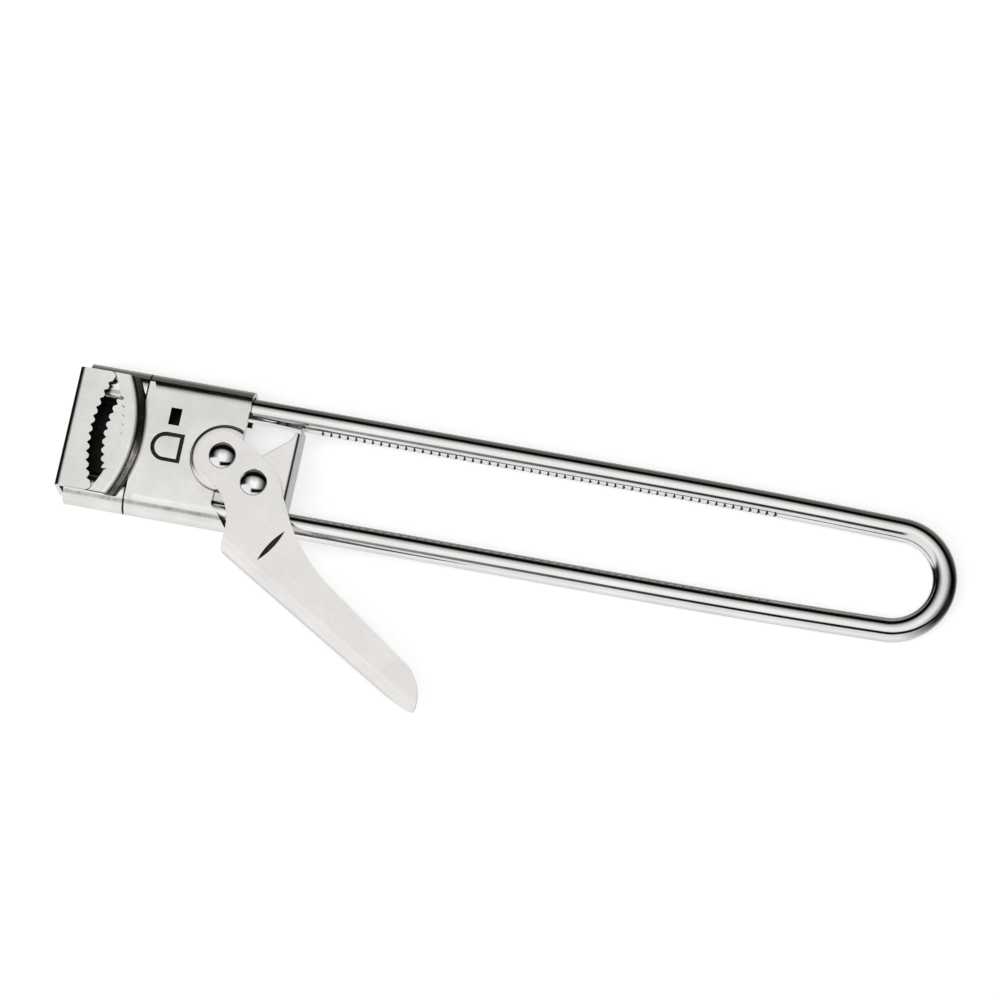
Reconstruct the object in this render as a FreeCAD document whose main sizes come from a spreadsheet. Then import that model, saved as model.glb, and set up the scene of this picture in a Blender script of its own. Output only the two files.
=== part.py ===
"""Adjustable jaw opener for cans and jar lids, all in stainless steel.

A round rod is bent into a long U. Its open ends are held in a fixed toothed jaw. A carriage slides on
both legs with a second toothed jaw, and a lever riveted to it carries a pawl that bites into the rack
cut in one leg. The tool lies flat: +X runs from the fixed jaw to the loop, +Z is up, and the origin is
the middle of the fixed jaw's underside.
"""

import FreeCAD, Part
import math
import os

import Sketcher
from FreeCAD import Placement, Rotation, Vector

SIZES = {
    "sheet": 1.2,                # thickness of the stamped sheet
    "rod_radius": 3.0,
    "rod_gap": 27.2,             # between the centre lines of the two legs
    "sleeve_radius": 4.6,        # outside of the sheet rolled round a rod
    "rod_play": 0.4,             # between the rod and the carriage's rolls
    "crimp_play": 0.02,          # between parts that are crimped or riveted tight
    "weld_inset": 0.6,
    "head_length": 17.2,         # heel of the fixed jaw to the end of its sleeves
    "sleeve_start": 2.1,
    "jaw_half_width": 15.4,
    "horn_round": 1.2,           # corner radius of the jaws' horns
    "jaw_rise": 2.6,             # jaws stand this far above the carriage's face
    "jaw_reach": 6.5,            # tooth tips of the fixed jaw from the heel, on the middle line
    "fixed_jaw_radius": 38.0,
    "tooth_pitch": 2.27,
    "tooth_depth": 0.8,
    "loop_radius": 12.75,        # centre line of the U bend
    "taper_start": 150.0,        # where the legs begin to close in, from the heel
    "loop_end": 223.9,           # overall length
    "rack_start": 62.3,
    "rack_pitch": 2.12,
    "rack_depth": 0.7,
    "rack_count": 55,
    "carriage_start": 17.7,      # rest position of the carriage's rolls, from the heel
    "carriage_length": 26.0,
    "lip_gap": 7.5,              # half of the gap between the wrap's lips, under the carriage
    "back_half_width": 9.8,
    "back_sheet": 1.0,
    "ring_centre": -33.6,        # centre of the moving jaw's arcs, from the carriage's end
    "ring_inner": 29.2,
    "ring_outer": 33.0,
    "ring_foot": 34.9,
    "ring_reach": 38.0,
    "ring_bend": 2.0,            # radius of the moving jaw's two bends
    "ring_sweep": 66,            # angle that the moving jaw's arcs turn through
    "flap_half_width": 8.8,      # outside this the jaw's foot is cut away to pass over the sleeves
    "flap_lift": 0.3,
    "window_x": 7.2,             # middle of the D window's round side, from the carriage's end
    "window_y": -0.4,
    "window_radius": 3.75,
    "window_flat": 4.3,
    "window_slot": 0.9,          # gap between the window and the boss that stands in it
    "slot_x": 8.0,
    "slot_y": 7.5,
    "slot_length": 2.8,
    "slot_width": 4.4,
    "tongue_nose": -8.4,         # tooth tips of the inner jaw, from the carriage's end
    "tongue_radius": 30.0,
    "tongue_half_width": 9.0,
    "tongue_heel": -4.6,         # back corners of the inner jaw's raised plate
    "tongue_step": -2.7,         # outer face of the riser between the raised plate and the shank
    "shank_half_width": 5.4,
    "shank_end": 13.2,
    "relief_depth": 4.5,         # corner cut for the lever's flange, from the carriage's free end
    "bay_depth": 5.6,            # cut under the carriage for the pawl, from the same end
    "bay_margin": 3.6,
    "pivot_x": 22.3,
    "pivot_y": -0.9,
    "pad_radius": 8.5,
    "pad_height": 2.0,
    "washer_radius": 4.4,
    "washer_sheet": 0.8,
    "washer_shift": 1.2,         # the washer sits off centre, clear of the pawl's bay
    "rivet_radius": 2.0,
    "rivet_head": 3.4,
    "rivet_dome": 1.4,
    "rivet_play": 0.05,
    "pivot_tail_radius": 3.1,    # closing heads of the two rivets
    "pivot_tail_height": 1.1,
    "pawl_tail_radius": 2.9,
    "pawl_tail_height": 0.7,
    "pawl_tail_foot": 0.1,
    "running_gap": 0.1,
    "lever_open": 30.5,          # rest angle of the lever from its closed place
    "lever_head": 6.2,
    "flange_line": 17.7,         # outer face of the flange from the pivot
    "flange_start": 15.6,
    "flange_depth": 6.2,
    "flange_bend": 2.4,
    "lever_tip": 79.6,
    "crease_depth": 0.5,
    "pawl_arm": 10.57,           # pivot rivet to pawl rivet
    "pawl_web_x": 8.5,
    "pawl_tip_y": 16.55,
    "pawl_foot_y": 3.8,
    "tooth_clip": 2.6,           # the biting tooth stops this far below the pawl's upper cheek
    "pawl_hub": 4.4,
    "pawl_floor": 0.9,           # underside of the pawl's lower cheek
}

LEFT, RIGHT = 1, -1
TINY = 1e-9
OVERCUT = 0.1                    # cuts start this far outside the metal
FIXED_TEETH, MOVING_TEETH, INNER_TEETH = 12, 9, 8
TOOTH_FILL = 0.96                # share of the pitch that a notch's mouth takes
TOOTH_SPILL = 0.35               # share of its depth that a notch starts outside the edge
RACK_FILL = 0.84


class Size:
    """A number together with the spreadsheet formula that gives it."""

    def __init__(self, value, text):
        self.value = value
        self.text = text

    def combine(self, other, sign, value):
        return Size(value, "(%s %s %s)" % (self.text, sign, other.text))

    def __add__(self, other):
        other = size(other)
        return self.combine(other, "+", self.value + other.value)

    def __sub__(self, other):
        other = size(other)
        return self.combine(other, "-", self.value - other.value)

    def __mul__(self, other):
        other = size(other)
        return self.combine(other, "*", self.value * other.value)

    def __truediv__(self, other):
        other = size(other)
        return self.combine(other, "/", self.value / other.value)

    def __neg__(self):
        return Size(-self.value, "(0 - %s)" % self.text)


def size(number):
    return number if isinstance(number, Size) else Size(float(number), "%.6g" % number)


def root(value):
    return Size(math.sqrt(value.value), "sqrt(%s)" % value.text)


def cosine(angle):
    return Size(math.cos(math.radians(angle.value)), "cos(%s * 1 deg)" % angle.text)


def sine(angle):
    return Size(math.sin(math.radians(angle.value)), "sin(%s * 1 deg)" % angle.text)


doc = FreeCAD.newDocument("jaw_opener")
sheet_cells = doc.addObject("Spreadsheet::Sheet", "Sizes")
for row, (alias, number) in enumerate(SIZES.items(), start=1):
    sheet_cells.set("A%d" % row, alias)
    sheet_cells.set("B%d" % row, str(number))
    sheet_cells.setAlias("B%d" % row, alias)
doc.recompute()
D = {alias: Size(number, "Sizes." + alias) for alias, number in SIZES.items()}

leg_y = D["rod_gap"] / 2
rod_z = D["sleeve_radius"]
face_top = D["sleeve_radius"] * 2
face_under = face_top - D["sheet"]
jaw_top = face_top + D["jaw_rise"]
jaw_under = jaw_top - D["sheet"]
pad_top = face_top + D["pad_height"]
lever_under = pad_top + D["running_gap"]
lever_top = lever_under + D["sheet"]
head_under = lever_top + D["running_gap"]

pieces = []


def new_body(label, x=0, y=0, angle=0):
    """A named body, placed in the tool's frame and turned about Z."""
    body = doc.addObject("PartDesign::Body", label)
    body.Label = label
    x, y, angle = size(x), size(y), size(angle)
    turn = Rotation(Vector(0, 0, 1), angle.value)
    body.Placement = Placement(Vector(x.value, y.value, 0), turn)
    body.setExpression("Placement.Base.x", x.text)
    body.setExpression("Placement.Base.y", y.text)
    body.setExpression("Placement.Rotation.Angle", angle.text + " * 1 deg")
    pieces.append(body)
    return body


def new_sketch(body, name, plane="XY_Plane", height=0, shift_x=0):
    """A sketch on one of the body's own planes, moved along the plane's normal and its X."""
    sketch = body.newObject("Sketcher::SketchObject", body.Label + "_" + name)
    support = [item for item in body.Origin.OriginFeatures if item.Role == plane][0]
    sketch.AttachmentSupport = (support, [""])
    sketch.MapMode = "FlatFace"
    height, shift_x = size(height), size(shift_x)
    sketch.AttachmentOffset = Placement(Vector(shift_x.value, 0, height.value), Rotation())
    sketch.setExpression("AttachmentOffset.Base.x", shift_x.text)
    sketch.setExpression("AttachmentOffset.Base.z", height.text)
    return sketch


def bind(sketch, kind, *items):
    """Add a constraint whose last item is a Size and tie it to the sheet."""
    number = items[-1]
    index = sketch.addConstraint(Sketcher.Constraint(kind, *items[:-1], number.value))
    sketch.setExpression("Constraints[%d]" % index, number.text)


def pin_point(sketch, geometry, end, x, y):
    """Hold one point of a geometry at x, y from the sketch's origin."""
    for kind, axis, number in (("DistanceX", -2, size(x)), ("DistanceY", -1, size(y))):
        if abs(number.value) < TINY:
            sketch.addConstraint(Sketcher.Constraint("PointOnObject", geometry, end, axis))
        else:
            bind(sketch, kind, -1, 1, geometry, end, number)


def minor_arc(start, end, radius, turn):
    """The short arc from start to end that turns left or right, as a circle arc."""
    middle = (start + end) * 0.5
    chord = end - start
    side = Vector(-chord.y, chord.x, 0).normalize() * turn
    rise = math.sqrt(max(radius ** 2 - (chord.Length / 2) ** 2, 0.0))
    centre = middle + side * rise
    first, last = (start, end) if turn == LEFT else (end, start)
    angles = [math.atan2(p.y - centre.y, p.x - centre.x) for p in (first, last)]
    return Part.ArcOfCircle(Part.Circle(centre, Vector(0, 0, 1), radius), angles[0], angles[1])


def outline(sketch, corners):
    """A closed outline. A corner is (x, y), or (x, y, turn, radius) where an arc leads up to it."""
    corners = [tuple(size(n) for n in c[:2]) + tuple(c[2:]) for c in corners]
    ends = []
    for before, here in zip([corners[-1]] + corners[:-1], corners):
        start = Vector(before[0].value, before[1].value, 0)
        end = Vector(here[0].value, here[1].value, 0)
        if len(here) == 2:
            geometry = sketch.addGeometry(Part.LineSegment(start, end), False)
            ends.append((geometry, 1, 2))
        else:
            turn, radius = here[2], size(here[3])
            geometry = sketch.addGeometry(minor_arc(start, end, radius.value, turn), False)
            bind(sketch, "Radius", geometry, radius)
            ends.append((geometry, 1, 2) if turn == LEFT else (geometry, 2, 1))
    for (g, _, tail), (h, head, _), corner in zip(ends, ends[1:] + ends[:1], corners):
        sketch.addConstraint(Sketcher.Constraint("Coincident", g, tail, h, head))
        pin_point(sketch, g, tail, corner[0], corner[1])


def box_outline(sketch, x0, x1, y0, y1):
    outline(sketch, [(x0, y0), (x1, y0), (x1, y1), (x0, y1)])


def circle(sketch, x, y, radius):
    radius = size(radius)
    centre = Vector(size(x).value, size(y).value, 0)
    geometry = sketch.addGeometry(Part.Circle(centre, Vector(0, 0, 1), radius.value), False)
    bind(sketch, "Radius", geometry, radius)
    pin_point(sketch, geometry, 3, x, y)


def pad(body, sketch, length):
    feature = body.newObject("PartDesign::Pad", sketch.Label + "_pad")
    feature.Profile = sketch
    feature.setExpression("Length", size(length).text)
    sketch.Visibility = False
    return feature


def pocket(body, sketch, length, upwards=False):
    """Cut down from the sketch by default, and check that something was cut."""
    doc.recompute()
    before = body.Shape.Volume
    feature = body.newObject("PartDesign::Pocket", sketch.Label + "_cut")
    feature.Profile = sketch
    feature.Reversed = upwards
    feature.setExpression("Length", size(length).text)
    doc.recompute()
    if body.Shape.Volume > before - 0.01:
        raise RuntimeError("nothing was cut by " + feature.Label)
    return feature


def round_edges(body, radius, chosen):
    """Fillet the edges of the body's last feature for which chosen(edge) is true."""
    doc.recompute()
    base = body.Tip
    names = ["Edge%d" % (i + 1) for i, edge in enumerate(base.Shape.Edges) if chosen(edge)]
    feature = body.newObject("PartDesign::Fillet", "%s_round_%d" % (body.Label, len(body.Group)))
    feature.Base = (base, names)
    feature.setExpression("Radius", size(radius).text)
    doc.recompute()
    return feature


def near(number, target, slack=0.02):
    return abs(number - size(target).value) < slack


def notch_row(body, name, centre_x, radius, count, side, depth_side, height):
    """A row of V notches round an arc, spaced by the tooth pitch and centred on the tool's middle.

    side is +1 where the arc lies on the +X side of its centre; depth_side is +1 to cut outwards.
    """
    step = D["tooth_pitch"] / radius * (180 / math.pi)
    first = -step * ((count - 1) / 2)
    sketch = new_sketch(body, name, height=height, shift_x=centre_x)
    along, across = cosine(first), sine(first)
    half = D["tooth_pitch"] / 2 * TOOTH_FILL
    spill = D["tooth_depth"] * TOOTH_SPILL
    mouth = radius - spill * depth_side
    deep = radius + D["tooth_depth"] * depth_side

    def spot(reach, offset):
        return (reach * along - offset * across) * side, reach * across + offset * along

    points = [spot(mouth, -half), spot(mouth, half), spot(deep, size(0))]
    outline(sketch, points)
    cut = pocket(body, sketch, D["sheet"] * 2)
    pattern = body.newObject("PartDesign::PolarPattern", sketch.Label + "_row")
    pattern.Originals = [cut]
    pattern.Axis = (sketch, ["N_Axis"])
    pattern.Reversed = side < 0
    pattern.Occurrences = count
    pattern.setExpression("Angle", (step * (count - 1)).text + " * 1 deg")
    body.Tip = pattern
    doc.recompute()


def handle_rod():
    """The U-bent rod: straight legs that close in a little before the loop, with a rack in one leg."""
    body = new_body("handle_rod", x=-D["head_length"] / 2)
    rod_end = D["sleeve_start"] + D["running_gap"] * 2
    start = rod_end.value
    leg, loop = leg_y.value, D["loop_radius"].value
    taper = D["taper_start"].value
    run = D["loop_end"].value - D["rod_radius"].value - loop - taper
    # the closing-in arc is tangent to the leg and to the loop, whose centre is on the middle line
    sweep = (run ** 2 + (leg - loop) ** 2) / (2 * (leg - loop)) + loop
    turn = math.acos((sweep - leg) / (sweep - loop))
    loop_x = taper + (sweep - loop) * math.sin(turn)

    path = new_sketch(body, "path", height=rod_z)
    upper_arc = Part.ArcOfCircle(
        Part.Circle(Vector(taper, leg - sweep, 0), Vector(0, 0, 1), sweep), math.pi / 2 - turn, math.pi / 2)
    bend = Part.ArcOfCircle(
        Part.Circle(Vector(loop_x, 0, 0), Vector(0, 0, 1), loop), turn - math.pi / 2, math.pi / 2 - turn)
    lower_arc = Part.ArcOfCircle(
        Part.Circle(Vector(taper, sweep - leg, 0), Vector(0, 0, 1), sweep), -math.pi / 2, turn - math.pi / 2)
    path.addGeometry(Part.LineSegment(Vector(start, leg, 0), Vector(taper, leg, 0)), False)
    path.addGeometry(upper_arc, False)
    path.addGeometry(bend, False)
    path.addGeometry(lower_arc, False)
    path.addGeometry(Part.LineSegment(Vector(taper, -leg, 0), Vector(start, -leg, 0)), False)
    pin_point(path, 0, 1, rod_end, leg_y)
    pin_point(path, 4, 2, rod_end, -leg_y)
    pin_point(path, 0, 2, D["taper_start"], leg_y)
    pin_point(path, 4, 1, D["taper_start"], -leg_y)
    for g, g_end, h, h_end in ((0, 2, 1, 2), (1, 1, 2, 2), (2, 1, 3, 2), (3, 1, 4, 1)):
        path.addConstraint(Sketcher.Constraint("Tangent", g, g_end, h, h_end))
    path.addConstraint(Sketcher.Constraint("PointOnObject", 2, 3, -1))
    bind(path, "Radius", 2, D["loop_radius"])

    section = new_sketch(body, "section", "YZ_Plane", height=rod_end)
    circle(section, leg_y, rod_z, D["rod_radius"])
    doc.recompute()
    pipe = body.newObject("PartDesign::AdditivePipe", "handle_rod_sweep")
    pipe.Profile = section
    pipe.Spine = (path, ["Edge%d" % (i + 1) for i in range(5)])
    doc.recompute()

    inner = leg_y - D["rod_radius"]
    notch = new_sketch(body, "rack_notch", height=face_top)
    half = D["rack_pitch"] * (RACK_FILL / 2)
    first = D["rack_start"]
    mouth = inner - OVERCUT * 3
    outline(notch, [(first - half, mouth), (first + half, mouth), (first, inner + D["rack_depth"])])
    cut = pocket(body, notch, face_top)
    rack = body.newObject("PartDesign::LinearPattern", "handle_rod_rack")
    rack.Originals = [cut]
    rack.Direction = (notch, ["H_Axis"])
    rack.setExpression("Length", (D["rack_pitch"] * (D["rack_count"] - 1)).text)
    rack.setExpression("Occurrences", D["rack_count"].text)
    body.Tip = rack
    doc.recompute()


def rolled_sleeve(body, name, side, start, length, inner):
    """Sheet rolled round one rod, its seam pressed shut."""
    sketch = new_sketch(body, name, "YZ_Plane", height=start)
    circle(sketch, leg_y * side, rod_z, D["sleeve_radius"])
    circle(sketch, leg_y * side, rod_z, inner)
    pad(body, sketch, length)
    doc.recompute()


def fixed_jaw():
    """One folded sheet: back plate with a sleeve crimped round each rod end, heel and toothed jaw."""
    body = new_body("fixed_jaw", x=-D["head_length"] / 2)
    half = D["jaw_half_width"]

    back = new_sketch(body, "back")
    box_outline(back, 0, D["head_length"], -leg_y, leg_y)
    pad(body, back, D["sheet"])
    heel = new_sketch(body, "heel", "YZ_Plane")
    box_outline(heel, -half, half, 0, jaw_top)
    pad(body, heel, D["sheet"])
    jaw = new_sketch(body, "jaw", height=jaw_under)
    curve, corner = D["fixed_jaw_radius"], D["horn_round"]
    centre = D["jaw_reach"] + curve
    horn_y = half - corner
    horn = centre - root(curve * curve - horn_y * horn_y)
    outline(jaw, [
        (0, -half), (horn - corner, -half), (horn, -horn_y, LEFT, corner), (horn, horn_y, RIGHT, curve),
        (horn - corner, half, LEFT, corner), (0, half)])
    pad(body, jaw, D["sheet"])
    doc.recompute()
    notch_row(body, "teeth", centre, curve, FIXED_TEETH, -1, 1, jaw_top + OVERCUT)

    def outer_fold(edge):
        box = edge.BoundBox
        return near(box.XMax, 0) and box.YLength > 20 and (near(box.ZMin, 0) or near(box.ZMin, jaw_top))

    def inner_fold(edge):
        box = edge.BoundBox
        upright = near(box.XMin, D["sheet"]) and near(box.XMax, D["sheet"]) and box.YLength > 20
        return upright and (near(box.ZMax, D["sheet"]) or near(box.ZMin, jaw_under))

    round_edges(body, D["sheet"] * 1.3, outer_fold)
    round_edges(body, D["sheet"] * 0.4, inner_fold)
    for side, name in ((LEFT, "upper_sleeve"), (RIGHT, "lower_sleeve")):
        rolled_sleeve(body, name, side, D["sleeve_start"], D["head_length"] - D["sleeve_start"],
                      D["rod_radius"] + D["crimp_play"])


def carriage_shell():
    """One sheet wrapped round both legs, with a raised toothed jaw pressed up at its front."""
    body = new_body("carriage_shell", x=D["carriage_start"] - D["head_length"] / 2)
    half = D["jaw_half_width"]

    step = new_sketch(body, "jaw_step", "XZ_Plane", shift_x=D["ring_centre"])
    shoulder = D["ring_outer"]
    foot = D["ring_foot"]
    wall = D["sheet"] * 0.8
    outline(step, [
        (D["ring_inner"], jaw_under), (shoulder - wall, jaw_under), (foot - wall, face_under),
        (D["ring_reach"], face_under), (D["ring_reach"], face_top), (foot, face_top),
        (shoulder, jaw_top), (D["ring_inner"], jaw_top)])
    ring = body.newObject("PartDesign::Revolution", "carriage_shell_ring")
    ring.Profile = step
    ring.ReferenceAxis = (step, ["V_Axis"])
    ring.setExpression("Angle", D["ring_sweep"].text + " * 1 deg")
    ring.Midplane = True
    doc.recompute()
    for side, name in ((LEFT, "trim_upper"), (RIGHT, "trim_lower")):
        trim = new_sketch(body, name, height=jaw_top + 1)
        box_outline(trim, -20, 12, half * side, (half + 12) * side)
        pocket(body, trim, jaw_top + 2)
    notch_row(body, "teeth", D["ring_centre"], D["ring_inner"], MOVING_TEETH, 1, 1, jaw_top + OVERCUT)

    def bends(edge):
        curve = getattr(edge, "Curve", None)
        if not isinstance(curve, Part.Circle) or abs(curve.Axis.z) < 0.9:
            return False
        high = near(curve.Radius, shoulder) and near(edge.BoundBox.ZMin, jaw_top)
        low = near(curve.Radius, foot) and near(edge.BoundBox.ZMin, face_top)
        return high or low

    round_edges(body, D["ring_bend"], bends)
    for side, name in ((LEFT, "clear_upper"), (RIGHT, "clear_lower")):
        clear = new_sketch(body, name, height=face_top + D["flap_lift"])
        box_outline(clear, -20, -OVERCUT, D["flap_half_width"] * side, (half + 1) * side)
        pocket(body, clear, D["sheet"] + D["flap_lift"] * 2)

    tube = new_sketch(body, "wrap", "YZ_Plane")
    for radius in (D["sleeve_radius"], D["rod_radius"] + D["rod_play"]):
        top, bottom = rod_z + radius, rod_z - radius
        outline(tube, [
            (-leg_y, bottom, LEFT, radius), (leg_y, bottom), (leg_y + radius, rod_z, LEFT, radius),
            (leg_y, top, LEFT, radius), (-leg_y, top), (-leg_y - radius, rod_z, LEFT, radius)])
    pad(body, tube, D["carriage_length"])
    doc.recompute()

    above_face, through = face_top + OVERCUT, D["sheet"] + OVERCUT * 2
    window = new_sketch(body, "window", height=above_face)
    d_outline(window, size(0))
    pocket(body, window, through)
    slot = new_sketch(body, "slot", height=above_face)
    box_outline(slot, D["slot_x"] - D["slot_length"] / 2, D["slot_x"] + D["slot_length"] / 2,
                D["slot_y"] - D["slot_width"] / 2, D["slot_y"] + D["slot_width"] / 2)
    pocket(body, slot, through)
    hole = new_sketch(body, "rivet_hole", height=above_face)
    circle(hole, D["pivot_x"], D["pivot_y"], D["rivet_radius"] + D["crimp_play"])
    pocket(body, hole, through)

    end = D["carriage_length"] + 1
    relief = new_sketch(body, "corner_relief", height=above_face)
    cut_x = D["carriage_length"] - D["relief_depth"]
    outline(relief, [(cut_x, -9.4), (cut_x, -12.8), (cut_x + 2.1, -14.8), (end, -19.2), (end, -9.4)])
    pocket(body, relief, D["sleeve_radius"])
    bay = new_sketch(body, "pawl_bay", height=-1)
    box_outline(bay, D["carriage_length"] - D["bay_depth"], end,
                D["bay_margin"] - leg_y, leg_y - D["bay_margin"])
    pocket(body, bay, D["sheet"] + 1.5, upwards=True)
    gap = new_sketch(body, "back_gap", height=-1)
    box_outline(gap, -1, end, -D["lip_gap"], D["lip_gap"])
    pocket(body, gap, D["sheet"] + 1.5, upwards=True)


def d_outline(sketch, inset):
    """The D shape of the window and, inset, of the boss that stands in it."""
    x, y, radius = D["window_x"], D["window_y"], D["window_radius"] - inset
    flat = x + D["window_flat"] - inset
    outline(sketch, [
        (x, y - radius, LEFT, radius), (flat, y - radius), (flat, y + radius), (x, y + radius),
        (x - radius, y, LEFT, radius)])


def tongue():
    """The inner toothed jaw: a raised plate under the moving jaw, on a shank held by its D boss."""
    body = new_body("inner_jaw", x=D["carriage_start"] - D["head_length"] / 2)
    half, shank = D["tongue_half_width"], D["shank_half_width"]
    radius, step = D["tongue_radius"], D["tongue_step"]
    centre = D["tongue_nose"] + radius
    horn = centre - root(radius * radius - half * half)
    plate_top = jaw_under - D["running_gap"]
    plate = new_sketch(body, "plate", height=plate_top - D["sheet"])
    outline(plate, [
        (horn, half), (horn, -half, LEFT, radius), (D["tongue_heel"], -half), (step, -shank),
        (step, shank), (D["tongue_heel"], half)])
    pad(body, plate, D["sheet"])
    doc.recompute()
    notch_row(body, "teeth", centre, radius, INNER_TEETH, -1, -1, plate_top + OVERCUT)
    riser = new_sketch(body, "riser", height=face_under - D["sheet"])
    box_outline(riser, step - D["sheet"], step, -shank, shank)
    pad(body, riser, plate_top - face_under + D["sheet"])
    strip = new_sketch(body, "strip", height=face_under - D["sheet"])
    box_outline(strip, step - D["sheet"], D["shank_end"], -shank, shank)
    pad(body, strip, D["sheet"])

    def outer_fold(edge):
        box = edge.BoundBox
        if box.YLength < shank.value or box.XLength > 0.01 or box.ZLength > 0.01:
            return False
        low = near(box.XMin, step - D["sheet"]) and near(box.ZMin, face_under - D["sheet"])
        return low or (near(box.XMin, step) and near(box.ZMin, plate_top))

    round_edges(body, D["sheet"] * 0.75, outer_fold)
    boss = new_sketch(body, "boss", height=face_under)
    d_outline(boss, D["window_slot"])
    boss_top = face_top + D["running_gap"] * 1.5
    pad(body, boss, boss_top - face_under)
    doc.recompute()
    round_edges(body, D["sheet"] * 0.2, lambda edge: near(edge.BoundBox.ZMin, boss_top))


def carriage_back():
    """A flat plate welded over the lips inside the carriage, which closes its underside."""
    body = new_body("carriage_back", x=D["carriage_start"] - D["head_length"] / 2)
    plan = new_sketch(body, "plan", height=D["sheet"])
    box_outline(plan, D["weld_inset"], D["carriage_length"] - D["bay_depth"] - D["weld_inset"],
                -D["back_half_width"], D["back_half_width"])
    pad(body, plan, D["back_sheet"])


def rivet_washer():
    """The washer under the face that the pivot rivet is closed over."""
    body = new_body("rivet_washer", x=D["carriage_start"] - D["head_length"] / 2)
    plan = new_sketch(body, "plan", height=face_under - D["washer_sheet"])
    circle(plan, D["pivot_x"] - D["washer_shift"], D["pivot_y"], D["washer_radius"])
    circle(plan, D["pivot_x"], D["pivot_y"], D["rivet_radius"] + D["crimp_play"])
    pad(body, plan, D["washer_sheet"])


def pivot_pad():
    """A thick disc under the lever's head, trimmed flush with the carriage's end."""
    body = new_body("pivot_pad", x=D["carriage_start"] - D["head_length"] / 2)
    plan = new_sketch(body, "plan", height=face_top)
    circle(plan, D["pivot_x"], D["pivot_y"], D["pad_radius"])
    circle(plan, D["pivot_x"], D["pivot_y"], D["rivet_radius"] + D["crimp_play"])
    pad(body, plan, D["pad_height"])
    trim = new_sketch(body, "trim", height=pad_top + 1)
    box_outline(trim, D["carriage_length"], D["carriage_length"] + 9, -12, 12)
    pocket(body, trim, D["pad_height"] + 1)
    round_edges(body, D["pad_height"] * 0.4,
                lambda edge: near(edge.BoundBox.ZMin, pad_top) and edge.Length > 30)


def rivet(label, x, y, shank_bottom, tail_radius, tail_height):
    """A domed rivet, turned about its own axis, with a flat closing head at its lower end."""
    body = new_body(label, x, y)
    section = new_sketch(body, "section", "XZ_Plane")
    radius, dome = D["rivet_head"], D["rivet_dome"]
    ball = (radius * radius + dome * dome) / (dome * 2)
    shank = D["rivet_radius"]
    tail_top = shank_bottom + tail_height
    outline(section, [
        (0, shank_bottom), (tail_radius, shank_bottom), (tail_radius, tail_top), (shank, tail_top),
        (shank, head_under), (radius, head_under), (0, head_under + dome, LEFT, ball)])
    turned = body.newObject("PartDesign::Revolution", label + "_turned")
    turned.Profile = section
    turned.ReferenceAxis = (section, ["V_Axis"])
    turned.Angle = 360
    doc.recompute()


def lever_arm(pivot_x, pivot_y):
    """Flat arm with a rolled-down flange along its outer edge, drawn closed and placed open."""
    body = new_body("lever_arm", x=pivot_x, y=pivot_y, angle=-D["lever_open"])
    line, start, tip = -D["flange_line"], D["flange_start"], D["lever_tip"]
    head, bend, crook = D["lever_head"], D["flange_bend"], D["flange_bend"] - D["sheet"]
    low = lever_top - D["flange_depth"]
    flat = line + bend + 1.0
    plan = new_sketch(body, "plan", height=lever_under)
    heel, nose = start - 1.8, tip - 1.0
    outline(plan, [
        (heel, flat), (nose, flat), (tip - 8.4, line + 8.5, LEFT, 12.0), (tip - 19.6, line + 9.3),
        (43.5, -7.2), (24.6, -1.6, RIGHT, 46.0), (17.9, 2.6), (8.0, head, LEFT, 13.0), (0, head),
        (-head * 0.866025, -head / 2, LEFT, head), (0, -head, LEFT, head), (5.4, -7.2),
        (12.6, -12.3, RIGHT, 13.0)])
    pad(body, plan, D["sheet"])
    flange = new_sketch(body, "flange", "YZ_Plane", height=heel)
    outline(flange, [
        (line, low), (line + D["sheet"], low), (line + D["sheet"], lever_under - crook),
        (line + bend, lever_under, RIGHT, crook), (flat + 0.4, lever_under), (flat + 0.4, lever_top),
        (line + bend, lever_top), (line, lever_top - bend, LEFT, bend)])
    pad(body, flange, tip - heel)
    outside, beyond = line - 1, tip + 1
    heel_cut = new_sketch(body, "heel_cut", height=lever_top + 1)
    outline(heel_cut, [(heel, flat), (start - 4, flat), (start - 4, outside), (start + 0.3, outside)])
    pocket(body, heel_cut, D["flange_depth"] + 2)
    tip_cut = new_sketch(body, "tip_cut", height=lever_top + 1)
    outline(tip_cut, [
        (beyond, outside), (beyond, flat + 1), (nose - 0.6, flat + 1), (nose, flat),
        (tip + 0.2, line + 1.3), (tip - 0.4, outside)])
    pocket(body, tip_cut, D["flange_depth"] + 2)
    clip = new_sketch(body, "flange_clip", "XZ_Plane", height=-outside)
    outline(clip, [
        (beyond, low - 1), (beyond, lever_under), (tip - 0.2, lever_under), (tip - 9, low),
        (tip - 9, low - 1)])
    pocket(body, clip, D["sheet"] + 2)
    for name, x, play in (("pivot_hole", 0, D["rivet_play"]), ("pawl_hole", D["pawl_arm"], D["crimp_play"])):
        hole = new_sketch(body, name, height=lever_top + OVERCUT)
        circle(hole, x, 0, D["rivet_radius"] + play)
        pocket(body, hole, D["sheet"] + OVERCUT * 2)
    crease = new_sketch(body, "crease", height=lever_top)
    outline(crease, [(25.0, -4.1, LEFT, 18.0), (24.8, -14.0, LEFT, 18.0)])
    pocket(body, crease, D["crease_depth"])


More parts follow.
